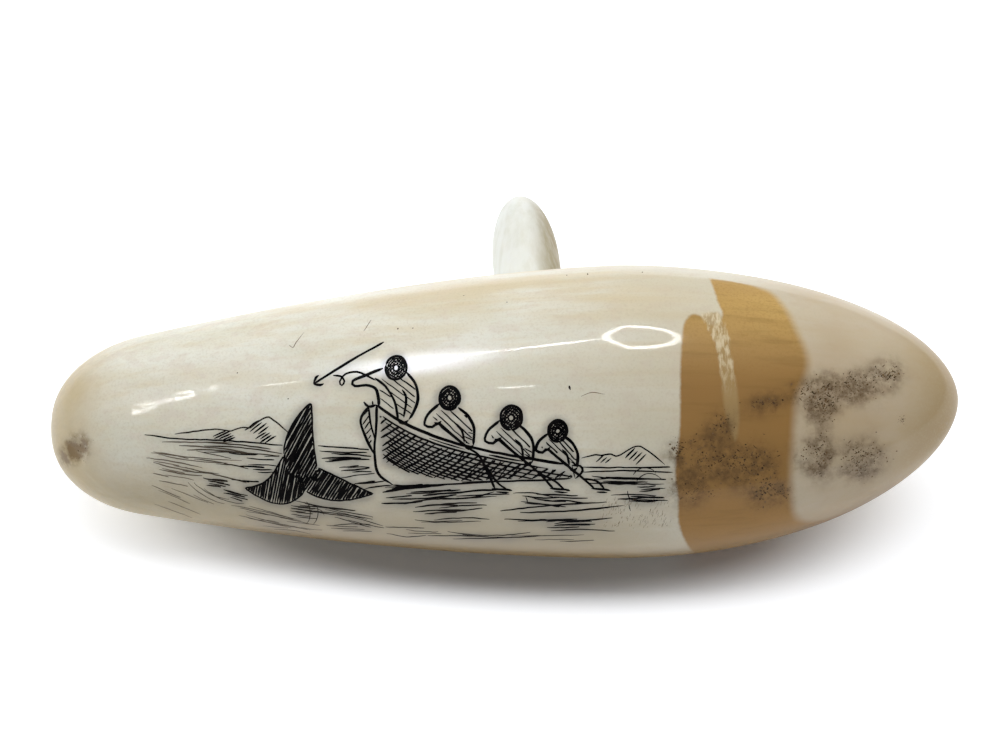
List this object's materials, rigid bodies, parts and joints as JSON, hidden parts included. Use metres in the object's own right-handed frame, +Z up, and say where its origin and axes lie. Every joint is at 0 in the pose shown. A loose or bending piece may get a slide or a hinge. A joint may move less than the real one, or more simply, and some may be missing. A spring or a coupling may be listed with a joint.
{
  "type": "scrimshaw whale tooth",
  "caption": "Polished whale tooth lying on its belly, with a whaling scene engraved on its upturned face and a tapered ivory peg behind that props it up. A shelf or desk ornament.",
  "frame": {"origin": "the middle of the small flat under the belly that the tooth rests on, on the table", "axes": "+X along the tooth from the worn crown to the root, +Y from the engraved face to the back, where the peg is, +Z up"},
  "size_m": [0.155, 0.086, 0.0432],
  "materials": {
    "polished_ivory": "gloss",
    "peg_ivory": "satin"
  },
  "bodies": {
    "root": {"tooth": "polished_ivory", "prop_peg": "peg_ivory"}
  },
  "joints": []
}
